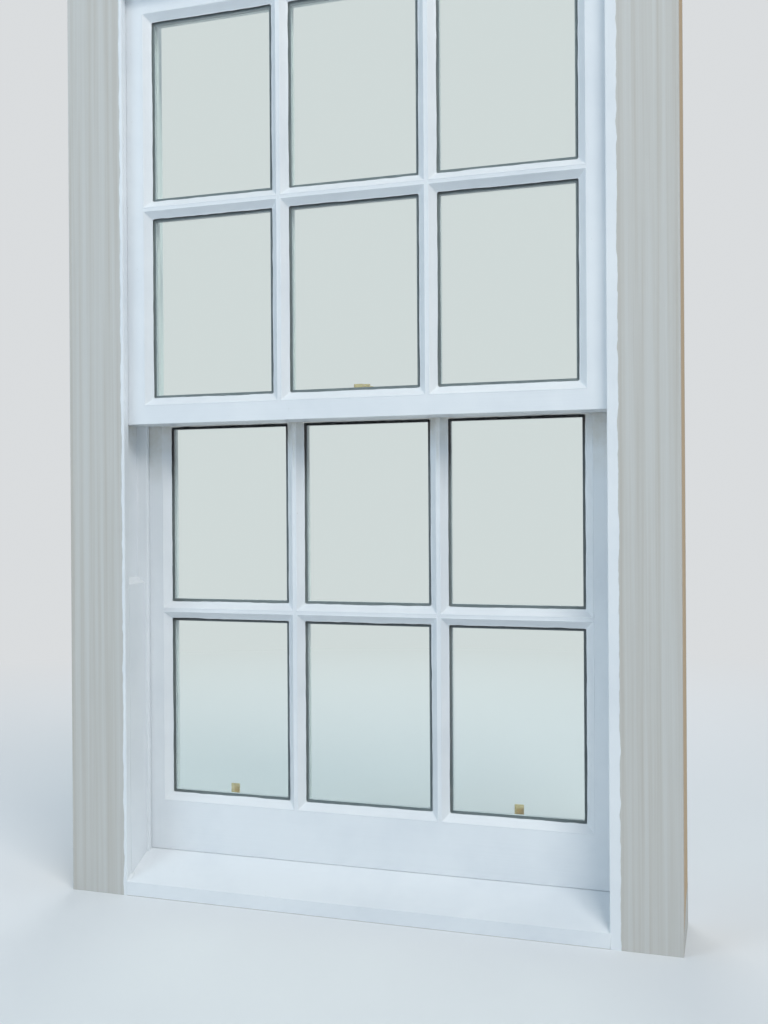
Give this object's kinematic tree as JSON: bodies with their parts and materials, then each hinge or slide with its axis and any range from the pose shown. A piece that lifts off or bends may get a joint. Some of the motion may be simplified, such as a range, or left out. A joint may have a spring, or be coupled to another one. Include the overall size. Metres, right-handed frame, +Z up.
{
  "type": "double-hung sash window",
  "caption": "Double-hung timber box sash window: two glazed sashes with bars slide past each other on cords, pulleys and hidden weights, with a catch and hook lifts.",
  "frame": {"origin": "Middle of the sill's underside, halfway between the outer and inner faces of the box frame.", "axes": "+X to the right as seen from outdoors, +Y from outdoors to indoors, +Z up."},
  "size_m": [0.9624, 0.145, 1.492],
  "materials": {
    "painted_wood": "brush-painted white, satin",
    "bare_wood": "planed softwood",
    "glass": "clear sealed-unit glass",
    "spacer": "grey edge seal",
    "putty": "putty, painted white",
    "brass": "polished",
    "cast_iron": "rough casting",
    "steel": "turned",
    "cord": "braided cotton"
  },
  "bodies": {
    "frame": {"sill": "painted_wood", "pulley_stile_left": "painted_wood", "pulley_stile_right": "painted_wood", "pocket_pieces": "painted_wood", "head": "painted_wood", "back_lining_left": "bare_wood", "back_lining_right": "bare_wood", "outer_lining_left": "painted_wood", "outer_lining_right": "painted_wood", "outer_lining_head": "painted_wood", "inner_lining_left": "painted_wood", "inner_lining_right": "painted_wood", "inner_lining_head": "painted_wood", "parting_bead_left": "painted_wood", "parting_bead_right": "painted_wood", "staff_bead_left": "painted_wood", "staff_bead_right": "painted_wood", "staff_bead_head": "painted_wood", "staff_bead_sill": "painted_wood", "stop_block_left": "painted_wood", "stop_block_right": "painted_wood", "wagtails": "bare_wood", "pulley_cases": "brass", "pulley_axles": "steel", "upper_cord_left": "cord", "upper_cord_right": "cord", "lower_cord_left": "cord", "lower_cord_right": "cord"},
    "upper_sash": {"upper_stile_left": "painted_wood", "upper_stile_right": "painted_wood", "upper_top_rail": "painted_wood", "upper_meeting_rail": "painted_wood", "upper_bar_left": "painted_wood", "upper_bar_right": "painted_wood", "upper_cross_bar": "painted_wood", "upper_glass": "glass", "upper_spacers": "spacer", "upper_putty": "putty", "catch_keep": "brass"},
    "lower_sash": {"lower_stile_left": "painted_wood", "lower_stile_right": "painted_wood", "lower_meeting_rail": "painted_wood", "lower_bottom_rail": "painted_wood", "lower_bar_left": "painted_wood", "lower_bar_right": "painted_wood", "lower_cross_bar": "painted_wood", "lower_glass": "glass", "lower_spacers": "spacer", "lower_putty": "putty", "hook_lifts": "brass", "catch_plate": "brass"},
    "catch": {"catch_arm": "brass"},
    "upper_wheel_left": {"upper_pulley_wheel_left": "brass"},
    "upper_weight_left": {"upper_weight_left": "cast_iron"},
    "upper_wheel_right": {"upper_pulley_wheel_right": "brass"},
    "upper_weight_right": {"upper_weight_right": "cast_iron"},
    "lower_wheel_left": {"lower_pulley_wheel_left": "brass"},
    "lower_weight_left": {"lower_weight_left": "cast_iron"},
    "lower_wheel_right": {"lower_pulley_wheel_right": "brass"},
    "lower_weight_right": {"lower_weight_right": "cast_iron"}
  },
  "joints": [
    {"name": "upper_slide", "type": "slide", "parent": "frame", "child": "upper_sash", "axis": [0, 0, -1], "range_m": [0, 0.247], "deforming": ["upper_cord_left", "upper_cord_right"]},
    {"name": "lower_slide", "type": "slide", "parent": "frame", "child": "lower_sash", "axis": [0, 0, 1], "range_m": [0, 0.62], "deforming": ["lower_cord_left", "lower_cord_right"]},
    {"name": "catch_turn", "type": "hinge", "parent": "lower_sash", "child": "catch", "pos_m": [0, 0.021, 0.8035], "axis": [0, 0, 1], "range_deg": [-35, 90]},
    {"name": "upper_weight_left_slide", "type": "slide", "parent": "frame", "child": "upper_weight_left", "axis": [0, 0, 1], "range_m": [0, 0.247]},
    {"name": "upper_wheel_left_turn", "type": "hinge", "parent": "frame", "child": "upper_wheel_left", "pos_m": [-0.4151, -0.0285, 1.37901], "axis": [0, 1, 0], "range_deg": [0, 542.3]},
    {"name": "upper_weight_right_slide", "type": "slide", "parent": "frame", "child": "upper_weight_right", "axis": [0, 0, 1], "range_m": [0, 0.247]},
    {"name": "upper_wheel_right_turn", "type": "hinge", "parent": "frame", "child": "upper_wheel_right", "pos_m": [0.4151, -0.0285, 1.37901], "axis": [0, -1, 0], "range_deg": [0, 542.3]},
    {"name": "lower_weight_left_slide", "type": "slide", "parent": "frame", "child": "lower_weight_left", "axis": [0, 0, -1], "range_m": [0, 0.62]},
    {"name": "lower_wheel_left_turn", "type": "hinge", "parent": "frame", "child": "lower_wheel_left", "pos_m": [-0.4151, 0.0285, 1.37901], "axis": [0, -1, 0], "range_deg": [0, 1361.2]},
    {"name": "lower_weight_right_slide", "type": "slide", "parent": "frame", "child": "lower_weight_right", "axis": [0, 0, -1], "range_m": [0, 0.62]},
    {"name": "lower_wheel_right_turn", "type": "hinge", "parent": "frame", "child": "lower_wheel_right", "pos_m": [0.4151, 0.0285, 1.37901], "axis": [0, 1, 0], "range_deg": [0, 1361.2]}
  ],
  "couplings": [
    {"joint": "upper_weight_left_slide", "follows": "upper_slide", "ratio": 1},
    {"joint": "upper_wheel_left_turn", "follows": "upper_slide", "rad_per_m": 38.314},
    {"joint": "upper_weight_right_slide", "follows": "upper_slide", "ratio": 1},
    {"joint": "upper_wheel_right_turn", "follows": "upper_slide", "rad_per_m": 38.314},
    {"joint": "lower_weight_left_slide", "follows": "lower_slide", "ratio": 1},
    {"joint": "lower_wheel_left_turn", "follows": "lower_slide", "rad_per_m": 38.314},
    {"joint": "lower_weight_right_slide", "follows": "lower_slide", "ratio": 1},
    {"joint": "lower_wheel_right_turn", "follows": "lower_slide", "rad_per_m": 38.314}
  ]
}
